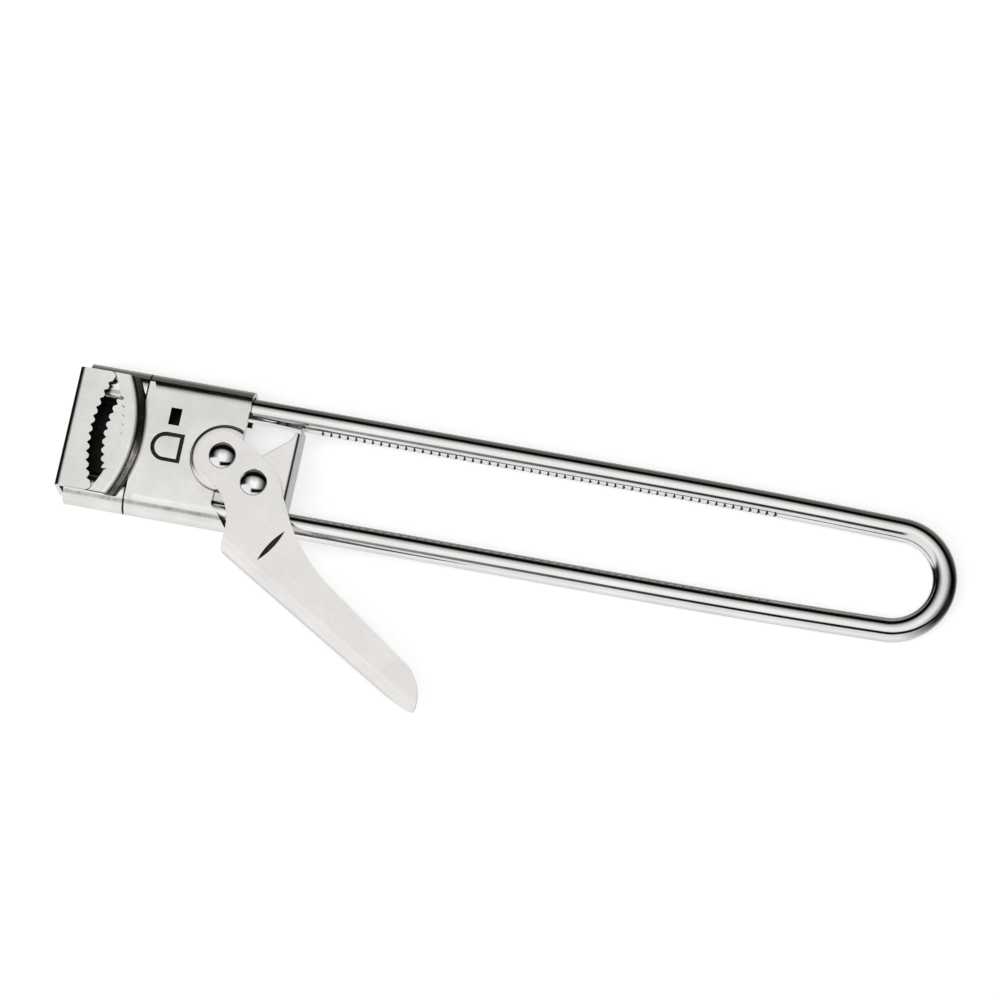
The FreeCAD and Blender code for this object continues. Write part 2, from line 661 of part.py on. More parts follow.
def pawl(rivet_x, rivet_y):
    """Folded channel: two cheeks on the pawl rivet and a web whose sharpened end bites the rack."""
    body = new_body("pawl", x=rivet_x, y=rivet_y)
    web_x, tip, hub = D["pawl_web_x"], D["pawl_tip_y"], D["pawl_hub"]
    upper = lever_under - D["running_gap"] * 1.5
    lower = D["pawl_floor"]
    cheek = [
        (web_x, -D["pawl_foot_y"] - 0.9), (web_x, tip - 1.9), (web_x - 1.2, tip - 2.9),
        (web_x - 2.3, tip - 4.4), (-2.6, 4.7), (-hub * 0.94, 1.5), (-hub * 0.707107, -hub * 0.707107, LEFT, hub * 1.1),
        (0, -hub, LEFT, hub * 1.1)]
    for name, level in (("upper_cheek", upper - D["sheet"]), ("lower_cheek", lower)):
        plan = new_sketch(body, name, height=level)
        outline(plan, cheek)
        pad(body, plan, D["sheet"])
        doc.recompute()
    inside = web_x - D["sheet"]
    web = new_sketch(body, "web", height=lower)
    box_outline(web, inside, web_x, -D["pawl_foot_y"], tip - 1.9)
    pad(body, web, upper - lower)
    tooth = new_sketch(body, "tooth", height=lower)
    outline(tooth, [(inside, tip - 3.0), (web_x, tip - 3.0), (web_x, tip), (inside, tip - 1.9)])
    pad(body, tooth, upper - lower - D["tooth_clip"])
    doc.recompute()

    def folds(edge):
        box = edge.BoundBox
        level = near(box.ZMax, lower) or near(box.ZMin, upper)
        return near(box.XMin, web_x) and near(box.XMax, web_x) and level and box.YLength > 10

    round_edges(body, D["sheet"] * 0.75, folds)
    hole = new_sketch(body, "rivet_hole", height=upper + OVERCUT)
    circle(hole, 0, 0, D["rivet_radius"] + D["rivet_play"])
    pocket(body, hole, upper + OVERCUT)


handle_rod()
fixed_jaw()
carriage_shell()
tongue()
carriage_back()
pivot_pad()
pivot_x = D["carriage_start"] - D["head_length"] / 2 + D["pivot_x"]
rivet("pivot_rivet", pivot_x, D["pivot_y"], face_under - D["washer_sheet"] - D["pivot_tail_height"],
      D["pivot_tail_radius"], D["pivot_tail_height"])
rivet_washer()
lever_arm(pivot_x, D["pivot_y"])
pawl_x = pivot_x + D["pawl_arm"] * cosine(D["lever_open"])
pawl_y = D["pivot_y"] - D["pawl_arm"] * sine(D["lever_open"])
rivet("pawl_rivet", pawl_x, pawl_y, D["pawl_tail_foot"], D["pawl_tail_radius"], D["pawl_tail_height"])
pawl(pawl_x, pawl_y)

doc.recompute()
for item in doc.Objects:
    if "Invalid" in item.State or "Error" in item.State:
        raise RuntimeError("%s failed: %s" % (item.Label, item.State))
for piece in pieces:
    if piece.Shape.isNull() or not piece.Shape.isValid():
        raise RuntimeError("%s has no valid shape" % piece.Label)
    if len(piece.Shape.Solids) != 1:
        raise RuntimeError("%s has %d solids" % (piece.Label, len(piece.Shape.Solids)))

os.makedirs("parts", exist_ok=True)
for piece in pieces:
    piece.Shape.exportStep(os.path.join("parts", piece.Label + ".step"))
    box = piece.Shape.BoundBox
    print("%-16s %7.1f mm3  X %6.1f %6.1f  Y %6.1f %6.1f  Z %5.1f %5.1f" % (
        piece.Label, piece.Shape.Volume, box.XMin, box.XMax, box.YMin, box.YMax, box.ZMin, box.ZMax))
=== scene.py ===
"""Adjustable jaw opener for cans and jar lids: the finished look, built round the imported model.

The tool lies flat on a pale floor. +X runs from the fixed jaw to the loop, +Z is up, and the origin is
the middle of the fixed jaw's underside. Lengths are written in millimetres and turned to metres by MM.
"""

import math

import bmesh
import bpy
from mathutils import Euler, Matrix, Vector


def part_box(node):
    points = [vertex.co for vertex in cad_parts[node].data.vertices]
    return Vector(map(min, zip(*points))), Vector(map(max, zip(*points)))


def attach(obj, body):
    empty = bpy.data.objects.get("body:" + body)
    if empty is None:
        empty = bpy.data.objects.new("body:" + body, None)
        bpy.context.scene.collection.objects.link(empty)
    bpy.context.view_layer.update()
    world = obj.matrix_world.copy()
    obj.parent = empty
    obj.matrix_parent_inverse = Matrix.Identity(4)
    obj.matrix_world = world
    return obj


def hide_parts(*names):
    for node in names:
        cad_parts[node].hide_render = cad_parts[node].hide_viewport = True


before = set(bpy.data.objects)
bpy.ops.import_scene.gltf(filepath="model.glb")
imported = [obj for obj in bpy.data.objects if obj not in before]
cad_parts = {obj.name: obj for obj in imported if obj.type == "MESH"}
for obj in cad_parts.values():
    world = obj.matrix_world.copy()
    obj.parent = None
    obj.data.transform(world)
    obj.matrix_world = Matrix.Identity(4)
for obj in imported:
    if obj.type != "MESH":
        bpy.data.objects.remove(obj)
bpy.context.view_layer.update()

MM = 0.001
scene = bpy.context.scene

ROD_LOW, ROD_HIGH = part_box("handle_rod")
ROD_RADIUS = (ROD_HIGH.z - ROD_LOW.z) / 2
ROD_Z = (ROD_HIGH.z + ROD_LOW.z) / 2
LEG_Y = ROD_HIGH.y - ROD_RADIUS
LOOP_RADIUS = 12.75 * MM       # centre line of the U bend
TAPER_START = 141.4 * MM       # the legs are straight up to here, and then close in to the loop
RACK_START = 53.7 * MM         # first notch
RACK_PITCH = 2.12 * MM
RACK_DEPTH = 0.7 * MM
RACK_COUNT = 55
LEVER_ANGLE = math.radians(-30.5)
LEG_STEPS, CLOSING_STEPS, BEND_STEPS = 60, 16, 28    # points along each stretch of the rod's centre line
BAR_SIDES, TURNED_SIDES = 56, 72
NOTCH_SPREAD = 1.9             # the notch cutter's radius as a multiple of the notch's depth
MERGE_GAP = 0.002 * MM         # points closer than this are one point
FLAT_ANGLE = math.radians(0.5)      # faces that meet flatter than this are one flat
EDGE_SEGMENTS = 3
BEVELLED_BEND = math.radians(32)    # a sharper bend in a stamped piece gets a rounded edge
SHARP_BAR_BEND = math.radians(30)   # a sharper bend in the rod shows as an edge
SHARP_TURNED_BEND = math.radians(40)


# ---------------------------------------------------------------- nodes and colours

def add_node(tree, kind, inputs=None, **settings):
    """Add a node with its settings, and link or set its inputs by name or number."""
    node = tree.nodes.new(kind)
    for key, value in settings.items():
        setattr(node, key, value)
    for key, value in (inputs or {}).items():
        if isinstance(value, bpy.types.NodeSocket):
            tree.links.new(value, node.inputs[key])
        else:
            node.inputs[key].default_value = value
    return node


def colour(hex_text):
    """An sRGB hex colour as linear RGBA."""
    channels = [int(hex_text[i:i + 2], 16) / 255 for i in (1, 3, 5)]
    linear = [c / 12.92 if c <= 0.04045 else ((c + 0.055) / 1.055) ** 2.4 for c in channels]
    return (*linear, 1.0)


def set_ramp(node, stops):
    """Give a colour ramp its (place, hex colour) stops."""
    ramp = node.color_ramp
    while len(ramp.elements) < len(stops):
        ramp.elements.new(0.5)
    for element, (place, hex_text) in zip(ramp.elements, stops):
        element.position = place
        element.color = colour(hex_text)


MARK_SIZE = (9, 0.5, 3)        # spacing of handling scratches along, across and through the metal, in mm
MARK_TURN = 0.6                # and how far they run off the grain, in radians


def spacing(*lengths):
    """A Mapping node's scale for a pattern that repeats at these lengths in mm."""
    return tuple(1 / (length * MM) for length in lengths)


def steel(name, light, dark, rough, grain, blotch, dent, scratch, grain_turn=0.0):
    """A stainless steel finish.

    light and dark are the metal's colours in its clean and its duller patches, rough the lowest and
    highest roughness, grain the (along, across) spacing of the rolling or polishing lines in mm, blotch
    the size of the duller patches in mm, dent the height of the surface's waves in mm, scratch how
    strongly fine handling scratches show, and grain_turn the direction of the lines.
    """
    material = bpy.data.materials.new(name)
    material.use_nodes = True
    tree = material.node_tree
    tree.nodes.clear()
    place = add_node(tree, "ShaderNodeTexCoord").outputs["Object"]
    turned = add_node(tree, "ShaderNodeMapping", {0: place, "Rotation": (0, 0, -grain_turn)}).outputs[0]
    along, across = grain
    stretched = add_node(tree, "ShaderNodeMapping", {
        0: turned, "Scale": spacing(along, across, across)}).outputs[0]
    lines = add_node(tree, "ShaderNodeTexNoise", {"Vector": stretched, "Scale": 1.0, "Detail": 3.0})
    patches = add_node(tree, "ShaderNodeTexNoise", {
        "Vector": place, "Scale": 1 / (blotch * MM), "Detail": 4.0, "Roughness": 0.6})
    crossed = add_node(tree, "ShaderNodeMapping", {
        0: turned, "Rotation": (0, 0, MARK_TURN), "Scale": spacing(*MARK_SIZE)}).outputs[0]
    marks = add_node(tree, "ShaderNodeTexVoronoi", {
        "Vector": crossed, "Scale": 1.0}, feature="DISTANCE_TO_EDGE")
    mark_line = add_node(tree, "ShaderNodeMapRange", {
        "Value": marks.outputs["Distance"], "From Min": 0.0, "From Max": 0.03,
        "To Min": 1.0, "To Max": 0.0})
    mark_here = add_node(tree, "ShaderNodeMath", {
        0: mark_line.outputs[0], 1: patches.outputs["Fac"]}, operation="MULTIPLY")
    tint = add_node(tree, "ShaderNodeValToRGB", {"Fac": patches.outputs["Fac"]})
    set_ramp(tint, [(0.35, dark), (0.65, light)])
    smoothest, roughest = rough
    dullness = add_node(tree, "ShaderNodeMapRange", {
        "Value": lines.outputs["Fac"], "From Min": 0.3, "From Max": 0.7,
        "To Min": smoothest, "To Max": roughest})
    marked = add_node(tree, "ShaderNodeMath", {
        0: mark_here.outputs[0], 1: scratch * 0.3, 2: dullness.outputs[0]}, operation="MULTIPLY_ADD")
    waves = add_node(tree, "ShaderNodeBump", {
        "Height": patches.outputs["Fac"], "Strength": 1.0, "Distance": dent * MM})
    relief = add_node(tree, "ShaderNodeBump", {
        "Height": lines.outputs["Fac"], "Strength": 0.35, "Distance": 0.01 * MM, "Normal": waves.outputs[0]})
    shader = add_node(tree, "ShaderNodeBsdfPrincipled", {
        "Base Color": tint.outputs["Color"], "Metallic": 1.0, "Roughness": marked.outputs[0],
        "Normal": relief.outputs[0]})
    add_node(tree, "ShaderNodeOutputMaterial", {"Surface": shader.outputs[0]})
    return material


# Stainless bar, drawn and then polished: near-mirror, with long faint draw lines
polished_bar = steel("polished_drawn_stainless_bar", "#D9D8D7", "#CFCECD", (0.05, 0.10),
                     (30, 0.12), blotch=20, dent=0.03, scratch=0.15)
# Stainless sheet, stamped and then tumbled bright: soft gloss with a slightly wavy skin
tumbled_sheet = steel("tumbled_stamped_stainless_sheet", "#DAD8D5", "#D0CECA", (0.13, 0.20),
                      (5, 0.25), blotch=13, dent=0.14, scratch=0.25)
# Stainless sheet with its satin rolled finish left on: fine grain along the lever
satin_sheet = steel("satin_rolled_stainless_sheet", "#E2DFDD", "#DAD8D6", (0.22, 0.30),
                    (6, 0.15), blotch=14, dent=0.06, scratch=0.25, grain_turn=LEVER_ANGLE)
# Rivet steel, headed and polished: the brightest and smoothest metal here
polished_rivet = steel("polished_headed_rivet_steel", "#E0E0DF", "#D6D6D5", (0.06, 0.12),
                       (2, 0.2), blotch=3, dent=0.005, scratch=0.25)
# Painted shade: a dull, dark steel colour on faces inside the head, in notches and under edges, standing in
# for the shade there
painted_shade_dark_sheet = steel("painted_shade_dark_steel", "#3C3B3D", "#2B2A2C", (0.35, 0.5),
                   (5, 0.3), blotch=5, dent=0.01, scratch=0.2)

FINISH = {"rod": polished_bar, "stamping": tumbled_sheet, "lever_sheet": satin_sheet,
          "rivet": polished_rivet, "hidden_sheet": painted_shade_dark_sheet}


# ---------------------------------------------------------------- making pieces

def finish_piece(piece, nodes, body):
    """Let a finished piece stand for its CAD nodes, which are hidden, and ride on their body."""
    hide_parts(*nodes)
    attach(piece, body)
    return piece


def link_piece(name, mesh):
    """A new object in the scene with this mesh."""
    piece = bpy.data.objects.new(name, mesh)
    scene.collection.objects.link(piece)
    return piece


def new_tree(name, sizes):
    """An empty Geometry Nodes tree with a geometry input and a named input for each size or count."""
    tree = bpy.data.node_groups.new(name, "GeometryNodeTree")
    tree.interface.new_socket("Geometry", in_out="INPUT", socket_type="NodeSocketGeometry")
    for size_name, value in sizes.items():
        kind = "NodeSocketInt" if isinstance(value, int) else "NodeSocketFloat"
        tree.interface.new_socket(size_name, in_out="INPUT", socket_type=kind)
    tree.interface.new_socket("Geometry", in_out="OUTPUT", socket_type="NodeSocketGeometry")
    return tree, add_node(tree, "NodeGroupInput").outputs


def end_tree(tree, geometry, finish, cut_face_painted_shade=None):
    """Realise, shade smooth, give the finish (and the dark painted shade where "cut_face" is set, if given)
    and send out.
    """
    real = add_node(tree, "GeometryNodeRealizeInstances", {0: geometry})
    smooth = add_node(tree, "GeometryNodeSetShadeSmooth", {0: real.outputs[0]})
    finished = add_node(tree, "GeometryNodeSetMaterial", {0: smooth.outputs[0], "Material": finish})
    if cut_face_painted_shade:
        cut_face = add_node(tree, "GeometryNodeInputNamedAttribute", {"Name": "cut_face"},
                            data_type="BOOLEAN")
        finished = add_node(tree, "GeometryNodeSetMaterial", {
            0: finished.outputs[0], "Selection": cut_face.outputs["Attribute"], "Material": cut_face_painted_shade})
    add_node(tree, "NodeGroupOutput", {0: finished.outputs[0]})


def grow(name, start_mesh, tree, sizes):
    """Run a tree on a start mesh with these sizes and return the plain piece that it makes."""
    start = link_piece(name + "_start", start_mesh)
    modifier = start.modifiers.new("grow", "NODES")
    modifier.node_group = tree
    for item in tree.interface.items_tree:
        if item.in_out == "INPUT" and item.name in sizes:
            modifier[item.identifier] = sizes[item.name]
    depsgraph = bpy.context.evaluated_depsgraph_get()
    mesh = bpy.data.meshes.new_from_object(start.evaluated_get(depsgraph))
    bpy.data.objects.remove(start)
    mesh.name = name
    return link_piece(name, mesh)


def path_mesh(name, points):
    """A bare line of edges through points."""
    mesh = bpy.data.meshes.new(name)
    mesh.from_pydata(points, [(i, i + 1) for i in range(len(points) - 1)], [])
    return mesh


def arc(centre, radius, first, last, steps):
    """Points in a plane round an arc, angles in degrees."""
    angles = [math.radians(first + (last - first) * i / steps) for i in range(steps + 1)]
    return [(centre[0] + radius * math.cos(a), centre[1] + radius * math.sin(a)) for a in angles]


# ---------------------------------------------------------------- the handle rod

def rod_path():
    """The rod's centre line: a leg, the closing-in arc, the U bend, and the same back again."""
    start, loop_end = ROD_LOW.x, ROD_HIGH.x
    run = loop_end - ROD_RADIUS - LOOP_RADIUS - TAPER_START
    drop = LEG_Y - LOOP_RADIUS
    sweep = (run ** 2 + drop ** 2) / (2 * drop) + LOOP_RADIUS
    turn = math.degrees(math.acos((sweep - LEG_Y) / (sweep - LOOP_RADIUS)))
    loop_x = TAPER_START + (sweep - LOOP_RADIUS) * math.sin(math.radians(turn))
    leg = [(start + (TAPER_START - start) * i / LEG_STEPS, LEG_Y) for i in range(LEG_STEPS)]
    closing = arc((TAPER_START, LEG_Y - sweep), sweep, 90, 90 - turn, CLOSING_STEPS)
    half_bend = arc((loop_x, 0), LOOP_RADIUS, 90 - turn, 0, BEND_STEPS)
    upper = leg + closing + half_bend[1:]
    lower = [(x, -y) for x, y in reversed(upper[:-1])]
    return [(x, y, ROD_Z) for x, y in upper + lower]


def rod_tree():
    """A round bar swept along the start line, with a row of V notches cut into one leg."""
    sizes = {"Bar radius": ROD_RADIUS, "Leg height": ROD_Z, "Leg offset": LEG_Y, "Notch start": RACK_START,
             "Notch pitch": RACK_PITCH, "Notch depth": RACK_DEPTH, "Notch count": RACK_COUNT}
    tree, given = new_tree("notched_bent_bar", sizes)
    line = add_node(tree, "GeometryNodeMeshToCurve", {0: given["Geometry"]})
    ring = add_node(tree, "GeometryNodeCurvePrimitiveCircle", {
        "Resolution": BAR_SIDES, "Radius": given["Bar radius"]})
    bar = add_node(tree, "GeometryNodeCurveToMesh", {
        "Curve": line.outputs[0], "Profile Curve": ring.outputs[0], "Fill Caps": True})

    depth, pitch = given["Notch depth"], given["Notch pitch"]
    wide = add_node(tree, "ShaderNodeMath", {0: depth, 1: NOTCH_SPREAD}, operation="MULTIPLY").outputs[0]
    # a three-sided bar, longer than the rod is thick, makes one V notch
    cutter = add_node(tree, "GeometryNodeMeshCylinder", {
        "Vertices": 3, "Radius": wide, "Depth": ROD_RADIUS * 3})
    step = add_node(tree, "ShaderNodeCombineXYZ", {0: pitch}).outputs[0]
    inner = add_node(tree, "ShaderNodeMath", {
        0: given["Leg offset"], 1: given["Bar radius"]}, operation="SUBTRACT")
    deep = add_node(tree, "ShaderNodeMath", {0: inner.outputs[0], 1: depth}, operation="ADD")
    middle = add_node(tree, "ShaderNodeMath", {0: deep.outputs[0], 1: wide}, operation="SUBTRACT")
    first = add_node(tree, "ShaderNodeCombineXYZ", {
        0: given["Notch start"], 1: middle.outputs[0], 2: given["Leg height"]}).outputs[0]
    row = add_node(tree, "GeometryNodeMeshLine", {
        "Count": given["Notch count"], "Start Location": first, "Offset": step}, mode="OFFSET")
    notches = add_node(tree, "GeometryNodeInstanceOnPoints", {
        "Points": row.outputs[0], "Instance": cutter.outputs["Mesh"], "Rotation": (0, 0, math.radians(90))})
    notches = add_node(tree, "GeometryNodeRealizeInstances", {0: notches.outputs[0]})
    notches = add_node(tree, "GeometryNodeStoreNamedAttribute", {
        "Geometry": notches.outputs[0], "Name": "cut_face", "Value": True},
        domain="FACE", data_type="BOOLEAN")
    cut = add_node(tree, "GeometryNodeMeshBoolean", {
        "Mesh 1": bar.outputs[0], "Mesh 2": notches.outputs[0]}, operation="DIFFERENCE", solver="EXACT")
    # the notches' faces are painted dark as shade
    end_tree(tree, cut.outputs[0], FINISH["rod"], FINISH["hidden_sheet"])
    return tree, sizes


rod_nodes, rod_sizes = rod_tree()
rod = grow("bent_rod_with_rack", path_mesh("rod_line", rod_path()), rod_nodes, rod_sizes)
rod.data.set_sharp_from_angle(angle=SHARP_BAR_BEND)
finish_piece(rod, ["handle_rod"], "frame")


# ---------------------------------------------------------------- stamped sheet pieces

def rounded_copy(node, body, slot_name, edge_round, shade_painted_faces=None):
    """A CAD node's shape with its triangles joined, its flats made whole and its hard edges rounded.

    edge_round is in mm. The last argument says which faces get the dark painted shade, where there are any.
    """
    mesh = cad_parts[node].data.copy()
    mesh.name = node + "_finished"
    for layer in ("custom_normal", "sharp_edge", "sharp_face"):
        if layer in mesh.attributes:
            mesh.attributes.remove(mesh.attributes[layer])
    work = bmesh.new()
    work.from_mesh(mesh)
    bmesh.ops.remove_doubles(work, verts=work.verts, dist=MERGE_GAP)
    bmesh.ops.dissolve_limit(work, angle_limit=FLAT_ANGLE, verts=work.verts, edges=work.edges)
    for face in work.faces:
        face.smooth = True
    work.to_mesh(mesh)
    work.free()
    piece = link_piece(node + "_finished", mesh)
    bevel = piece.modifiers.new("edge_round", "BEVEL")
    bevel.width = edge_round * MM
    bevel.segments = EDGE_SEGMENTS
    bevel.limit_method = "ANGLE"
    bevel.angle_limit = BEVELLED_BEND
    bevel.harden_normals = True
    mesh.materials.clear()
    mesh.materials.append(FINISH[slot_name])
    if shade_painted_faces:
        paint_shade_on_faces(mesh, shade_painted_faces)
    return finish_piece(piece, [node], body)


def paint_shade_on_faces(mesh, shade_painted_faces):
    """Paint shade, as the dark sheet, on the faces for which the test (centre in mm, normal) is true."""
    mesh.materials.append(FINISH["hidden_sheet"])
    for face in mesh.polygons:
        if shade_painted_faces(face.center / MM, face.normal):
            face.material_index = 1


# Where the stamped pieces' faces lie, in mm, to choose the faces that get painted shade
WALL = 0.3                 # a face whose normal rises less than this is a wall, and else a floor or a ceiling
ENDS = 0.9                 # a face whose normal runs this far along the tool is a sheared end
FLOOR_BELOW = 2.5          # the floors of the head lie under this height
JAW_UNDER = 10.7           # a jaw plate's teeth start above this height
SEAM = (8, 10)             # the fixed jaw's sleeves end, and the carriage starts, between these X
HEAD_CEILING, HEAD_FLOOR_REACH, HEAD_CEILING_REACH = 9, 12, 16
HEAD_BACK_X, HEAD_BACK_Z = -6, (1, 11)
FIXED_TEETH_FROM = -3.5
CARRIAGE_CEILING, MOVING_TEETH_TO, MOVING_JAW_TOP = 7.5, 6.6, 11.7
SHANK_TOP, SHANK_FROM = 8.3, 4
CREASE_FLOOR, LEVER_TOP = (11.8, 12.2), (12.15, 12.5)
LEVEL = 0.98               # a face whose normal rises more than this is level


def inside_head(centre, normal):
    """The faces of the fixed jaw that look into the closed head, its teeth and its sheared ends, which get
    painted shade.
    """
    floor = normal.z > WALL and centre.z < FLOOR_BELOW and abs(centre.y) < HEAD_FLOOR_REACH
    ceiling = normal.z < -WALL and centre.z > HEAD_CEILING and abs(centre.y) < HEAD_CEILING_REACH
    back = normal.x > 0.5 and centre.x < HEAD_BACK_X and HEAD_BACK_Z[0] < centre.z < HEAD_BACK_Z[1]
    teeth = abs(normal.z) < WALL and centre.z > JAW_UNDER and centre.x > FIXED_TEETH_FROM
    sheared = normal.x > ENDS and centre.x > SEAM[0]
    return floor or ceiling or back or teeth or sheared


def under_face(centre, normal):
    """The inner jaw's shank, all but its boss, which gets painted shade."""
    return centre.z < SHANK_TOP and centre.x > SHANK_FROM


def inside_carriage(centre, normal):
    """The faces of the carriage that look into the head, its teeth and its sheared end, which get painted
    shade.
    """
    floor = normal.z > WALL and centre.z < FLOOR_BELOW
    ceiling = normal.z < -WALL and centre.z > CARRIAGE_CEILING
    teeth = abs(normal.z) < WALL and JAW_UNDER < centre.z < MOVING_JAW_TOP and centre.x < MOVING_TEETH_TO
    sheared = normal.x < -ENDS and SEAM[0] < centre.x < SEAM[1]
    return floor or ceiling or teeth or sheared


def pressed_crease(centre, normal):
    """The floor of the lens-shaped crease between the lever's head and its arm, and its wall, which get
    painted shade.
    """
    floor = normal.z > LEVEL and CREASE_FLOOR[0] < centre.z < CREASE_FLOOR[1]
    wall = abs(normal.z) < WALL and LEVER_TOP[0] < centre.z < LEVER_TOP[1]
    return floor or wall


# the faces picked by each test below are painted dark as shade, in place of the metal
rounded_copy("fixed_jaw", "frame", "stamping", 0.26, shade_painted_faces=inside_head)
rounded_copy("carriage_shell", "carriage", "stamping", 0.26, shade_painted_faces=inside_carriage)
rounded_copy("inner_jaw", "carriage", "stamping", 0.12, shade_painted_faces=under_face)
# the carriage's back and the washer lie inside the head and are painted dark all over as shade
rounded_copy("carriage_back", "carriage", "hidden_sheet", 0.2)
rounded_copy("rivet_washer", "carriage", "hidden_sheet", 0.1)
rounded_copy("lever_arm", "lever", "lever_sheet", 0.2, shade_painted_faces=pressed_crease)
rounded_copy("pawl", "pawl", "lever_sheet", 0.16)


# ---------------------------------------------------------------- turned pieces

def turning_tree(finish):
    """Turn the start line, drawn as X the radius and -Y the height, round an upright axis.

    The line is swept along a small hoop, and first moved in by the hoop's own radius.
    """
    sizes = {"Axis X": 0.0, "Axis Y": 0.0}
    tree, given = new_tree("turned_piece", sizes)
    hoop = 1 * MM
    line = add_node(tree, "GeometryNodeMeshToCurve", {0: given["Geometry"]})
    shifted = add_node(tree, "GeometryNodeTransform", {
        "Geometry": line.outputs[0], "Translation": (-hoop, 0, 0)})
    ring = add_node(tree, "GeometryNodeCurvePrimitiveCircle", {"Resolution": TURNED_SIDES, "Radius": hoop})
    level = add_node(tree, "GeometryNodeSetCurveNormal", {0: ring.outputs[0]}, mode="Z_UP")
    skin = add_node(tree, "GeometryNodeCurveToMesh", {
        "Curve": level.outputs[0], "Profile Curve": shifted.outputs[0]})
    closed = add_node(tree, "GeometryNodeMergeByDistance", {0: skin.outputs[0], "Distance": MERGE_GAP})
    spot = add_node(tree, "ShaderNodeCombineXYZ", {0: given["Axis X"], 1: given["Axis Y"]}).outputs[0]
    placed = add_node(tree, "GeometryNodeTransform", {"Geometry": closed.outputs[0], "Translation": spot})
    end_tree(tree, placed.outputs[0], finish)
    return tree


def facing_out(piece):
    """Recalculate a closed piece's normals so that they point outwards."""
    work = bmesh.new()
    work.from_mesh(piece.data)
    bmesh.ops.recalc_face_normals(work, faces=work.faces)
    work.to_mesh(piece.data)
    work.free()


def axis_of(node):
    """Where the upright axis of a round CAD node stands, in metres."""
    low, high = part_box(node)
    return (low.x + high.x) / 2, (low.y + high.y) / 2


def turned(name, node, body, slot_name, outline, axis):
    """Turn an outline of (radius, height) points in mm round an axis, to stand for a CAD node."""
    points = [(radius * MM, -height * MM, 0) for radius, height in outline]
    piece = grow(name, path_mesh(name + "_line", points), turning_tree(FINISH[slot_name]),
                 {"Axis X": axis[0], "Axis Y": axis[1]})
    facing_out(piece)
    piece.data.set_sharp_from_angle(angle=SHARP_TURNED_BEND)
    return finish_piece(piece, [node], body)


DOME_RADIUS, DOME_HEIGHT = 3.4, 1.4       # a rivet's dome, as part of a ball with this base, in mm
DOME_EDGE, DOME_RIM = 3.25, 3.38          # where the dome ends, and the small upright rim outside it
HEAD_SEAT = 3.2                           # the head's flat underside
SHANK_RADIUS = 2.0
TAIL_RADIUS = {"pivot_rivet": 3.1, "pawl_rivet": 2.9}
TAIL_HEIGHT, TAIL_SHOULDER, TAIL_CHAMFER = 0.7, 0.6, 0.15


def rivet_outline(node):
    """A rivet's half section from the foot of its tail to the top of its dome, in mm."""
    low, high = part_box(node)
    top, foot = high.z / MM, low.z / MM
    seat = top - DOME_HEIGHT
    tail = TAIL_RADIUS[node]
    ball = (DOME_RADIUS ** 2 + DOME_HEIGHT ** 2) / (2 * DOME_HEIGHT)
    half = math.degrees(math.asin(DOME_EDGE / ball))
    tail_end = [(0, foot), (tail - TAIL_CHAMFER, foot), (tail, foot + TAIL_CHAMFER),
                (tail, foot + TAIL_SHOULDER), (tail - TAIL_CHAMFER, foot + TAIL_HEIGHT)]
    shank = [(SHANK_RADIUS, foot + TAIL_HEIGHT), (SHANK_RADIUS, seat), (HEAD_SEAT, seat)]
    rim = [(DOME_EDGE, seat + 0.02), (DOME_RIM, seat + 0.08), (DOME_RIM, seat + 0.2)]
    return tail_end + shank + rim + arc((0, top - ball), ball, 90 - half, 90, 14)


turned("domed_pivot_rivet", "pivot_rivet", "carriage", "rivet",
       rivet_outline("pivot_rivet"), axis_of("pivot_rivet"))
turned("domed_pawl_rivet", "pawl_rivet", "lever", "rivet", rivet_outline("pawl_rivet"), axis_of("pawl_rivet"))


PAD_ROUND = 1.4                           # the pad's rounded upper rim
PAD_FOOT_INSET, PAD_FOOT_HEIGHT = 0.75, 0.45
PAD_LIP_INSET, PAD_LIP_RISE = 0.3, 0.05


def pad_outline(radius, foot, top):
    """The pad's half section: a recessed foot, a small lip and a rounded upper rim, in mm."""
    foot_radius = radius - PAD_FOOT_INSET
    step = foot + PAD_FOOT_HEIGHT
    rim = arc((radius - PAD_ROUND, top - PAD_ROUND), PAD_ROUND, -20, 90, 12)
    return [(0, foot), (foot_radius, foot), (foot_radius, step),
            (radius - PAD_LIP_INSET, step + PAD_LIP_RISE)] + rim + [(0, top)]


def trim_beyond(piece, x):
    """Cut a closed piece off flat beyond x and close the cut."""
    work = bmesh.new()
    work.from_mesh(piece.data)
    everything = work.verts[:] + work.edges[:] + work.faces[:]
    cut = bmesh.ops.bisect_plane(
        work, geom=everything, plane_co=(x, 0, 0), plane_no=(1, 0, 0), clear_outer=True)
    rim = [item for item in cut["geom_cut"] if isinstance(item, bmesh.types.BMEdge)]
    bmesh.ops.holes_fill(work, edges=rim)
    bmesh.ops.recalc_face_normals(work, faces=work.faces)
    work.to_mesh(piece.data)
    work.free()


pad_low, pad_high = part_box("pivot_pad")
pad_radius = (pad_high.y - pad_low.y) / 2 / MM
pad = turned("pivot_pad_disc", "pivot_pad", "carriage", "stamping",
             pad_outline(pad_radius, pad_low.z / MM, pad_high.z / MM), axis_of("pivot_rivet"))
trim_beyond(pad, pad_high.x)
pad.data.set_sharp_from_angle(angle=SHARP_TURNED_BEND)
# the undercut rim and the underside get the dark painted shadow, and the flat end does not
paint_shade_on_faces(pad.data, lambda centre, normal: normal.z < 0.1 and centre.x < pad_high.x / MM - 0.1)


# ---------------------------------------------------------------- floor, light and camera

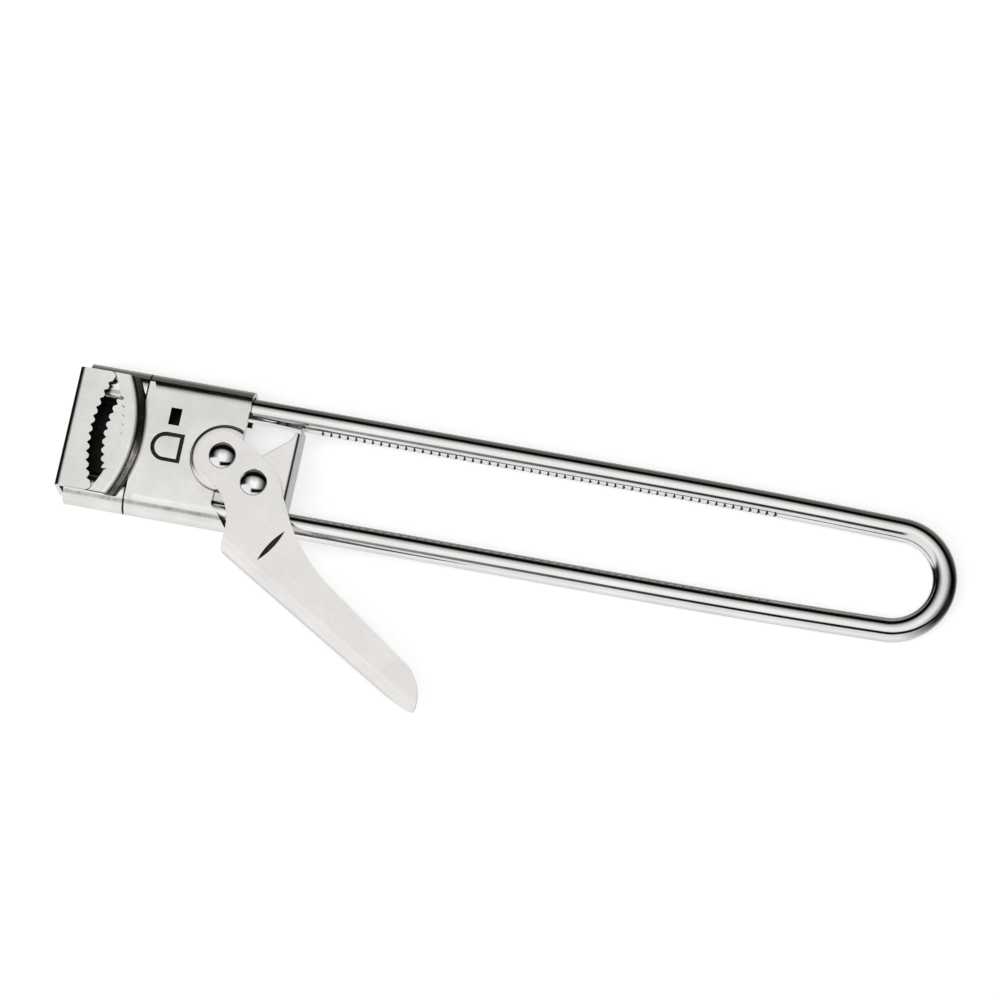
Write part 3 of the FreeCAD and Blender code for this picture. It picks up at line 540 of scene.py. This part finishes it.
def studio():
    """A pale floor, and a sky of bright and dark bands that the metal reflects."""
    mesh = bpy.data.meshes.new("floor")
    reach = 3.0    # metres to each side
    mesh.from_pydata([(-reach, -reach, 0), (reach, -reach, 0), (reach, reach, 0), (-reach, reach, 0)],
                     [], [(0, 1, 2, 3)])
    floor = bpy.data.objects.new("floor", mesh)
    scene.collection.objects.link(floor)
    floor.location.z = -0.05 * MM
    paper = bpy.data.materials.new("matt_white_paper")
    paper.use_nodes = True
    shader = paper.node_tree.nodes["Principled BSDF"]
    shader.inputs["Base Color"].default_value = colour("#F4F4F4")
    shader.inputs["Roughness"].default_value = 0.9
    shader.inputs["Emission Color"].default_value = colour("#FFFFFF")
    shader.inputs["Emission Strength"].default_value = 0.55
    mesh.materials.append(paper)
    # the metal reflects the studio, not the paper
    floor.visible_glossy = False

    world = bpy.data.worlds.new("studio_sky")
    scene.world = world
    world.use_nodes = True
    tree = world.node_tree
    tree.nodes.clear()
    direction = add_node(tree, "ShaderNodeTexCoord").outputs["Generated"]
    part = add_node(tree, "ShaderNodeSeparateXYZ", {0: direction}).outputs
    # round the tool's length, as shares of a turn that starts at the near horizon and goes under the
    # tool: pale below, grey then black on the far side, a softbox overhead, and a black bar at the front
    turn = add_node(tree, "ShaderNodeMath", {0: part["Z"], 1: part["Y"]}, operation="ARCTAN2")
    share = add_node(tree, "ShaderNodeMapRange", {
        "Value": turn.outputs[0], "From Min": -math.pi, "From Max": math.pi})
    across = add_node(tree, "ShaderNodeValToRGB", {"Fac": share.outputs[0]})
    set_ramp(across, [(0.03, "#FFFFFF"), (0.30, "#B8B8B8"), (0.43, "#8A8A86"), (0.47, "#5C5B57"),
                      (0.53, "#6A6964"), (0.545, "#080808"), (0.625, "#080808"), (0.65, "#A8A8A5"),
                      (0.69, "#DCDCDC"), (0.74, "#FFFFFF"), (0.83, "#FFFFFF"), (0.85, "#0A0A0A"),
                      (0.90, "#0A0A0A"), (0.92, "#F0F0F0")])
    # along the tool: dim beyond each end
    left_right = add_node(tree, "ShaderNodeMapRange", {
        "Value": part["X"], "From Min": -1.0, "From Max": 1.0})
    along = add_node(tree, "ShaderNodeValToRGB", {"Fac": left_right.outputs[0]})
    set_ramp(along, [(0.08, "#202020"), (0.34, "#FFFFFF"), (0.64, "#FFFFFF"), (0.94, "#303030")])
    sky = add_node(tree, "ShaderNodeMix", {
        "Factor": 1.0, 6: across.outputs["Color"], 7: along.outputs["Color"]},
        data_type="RGBA", blend_type="MULTIPLY").outputs[2]
    # a tall softbox off the near left corner, square on to the lever's edge
    left, near = (add_node(tree, "ShaderNodeMapRange", {
        "Value": part[axis], "From Min": -0.12, "From Max": -0.24}).outputs[0] for axis in ("X", "Y"))
    corner = add_node(tree, "ShaderNodeMath", {0: left, 1: near}, operation="MULTIPLY")
    sky = add_node(tree, "ShaderNodeMix", {
        "Factor": corner.outputs[0], 6: sky, 7: colour("#F2F2F2")},
        data_type="RGBA").outputs[2]
    light = add_node(tree, "ShaderNodeBackground", {"Color": sky, "Strength": 1.3})
    add_node(tree, "ShaderNodeOutputWorld", {"Surface": light.outputs[0]})


def camera():
    """The view from above and a little towards the near leg, with the tool turned across the frame."""
    data = bpy.data.cameras.new("camera")
    eye = bpy.data.objects.new("camera", data)
    scene.collection.objects.link(eye)
    eye.location = Vector((348.1, -429.3, 1707.9)) * MM
    eye.rotation_euler = Euler((0.270, 0.090, 0.207), "XYZ")
    data.lens = 258.8
    data.sensor_width = 36.0
    data.clip_start, data.clip_end = 0.05, 20.0
    scene.camera = eye


studio()
camera()
scene.view_settings.view_transform = "Standard"
